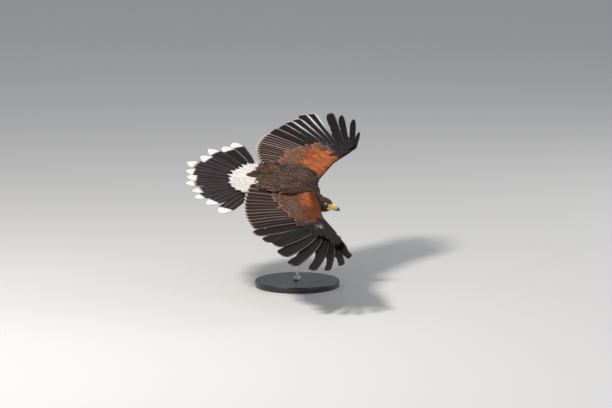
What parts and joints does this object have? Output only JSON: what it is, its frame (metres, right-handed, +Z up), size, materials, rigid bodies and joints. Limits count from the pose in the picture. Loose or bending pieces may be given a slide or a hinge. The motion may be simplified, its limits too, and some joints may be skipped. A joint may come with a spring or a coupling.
{
  "type": "Harris's hawk model",
  "caption": "Life-size still model of a Harris's hawk banking in flight with wings and tail fully spread, on a round black display stand.",
  "frame": {"origin": "centre of the underside of the round stand base", "axes": "+X is the way the bird flies, +Y its left, +Z up"},
  "size_m": [0.5734, 0.9954, 0.4639],
  "materials": {
    "plumage": "matte dark chocolate-brown feathers with paler reddish edges",
    "wing_feathers": "satin blackish-brown flight feathers under rust-orange shoulder coverts",
    "tail_feathers": "satin black feathers with white base and tips",
    "thigh_feathers": "matte rufous feathers",
    "bare_yellow": "satin yellow skin of cere, lores, legs and feet",
    "horn": "polished dark blue-grey horn of bill and claws",
    "eye": "clear glossy dark brown",
    "stand_black": "satin black",
    "stand_steel": "brushed"
  },
  "bodies": {
    "root": {"torso": "plumage", "neck": "plumage", "head": "plumage", "wing_left": "wing_feathers", "wing_right": "wing_feathers", "tail": "tail_feathers", "thigh_left": "thigh_feathers", "thigh_right": "thigh_feathers", "cere": "bare_yellow", "tarsus_left": "bare_yellow", "tarsus_right": "bare_yellow", "foot_left": "bare_yellow", "foot_right": "bare_yellow", "bill_upper": "horn", "bill_lower": "horn", "eye_left": "eye", "eye_right": "eye", "stand_base": "stand_black", "stand_collar": "stand_steel", "stand_rod": "stand_steel", "claw_left_inner": "horn", "claw_left_middle": "horn", "claw_left_outer": "horn", "claw_left_hind": "horn", "claw_right_inner": "horn", "claw_right_middle": "horn", "claw_right_outer": "horn", "claw_right_hind": "horn"}
  },
  "joints": []
}
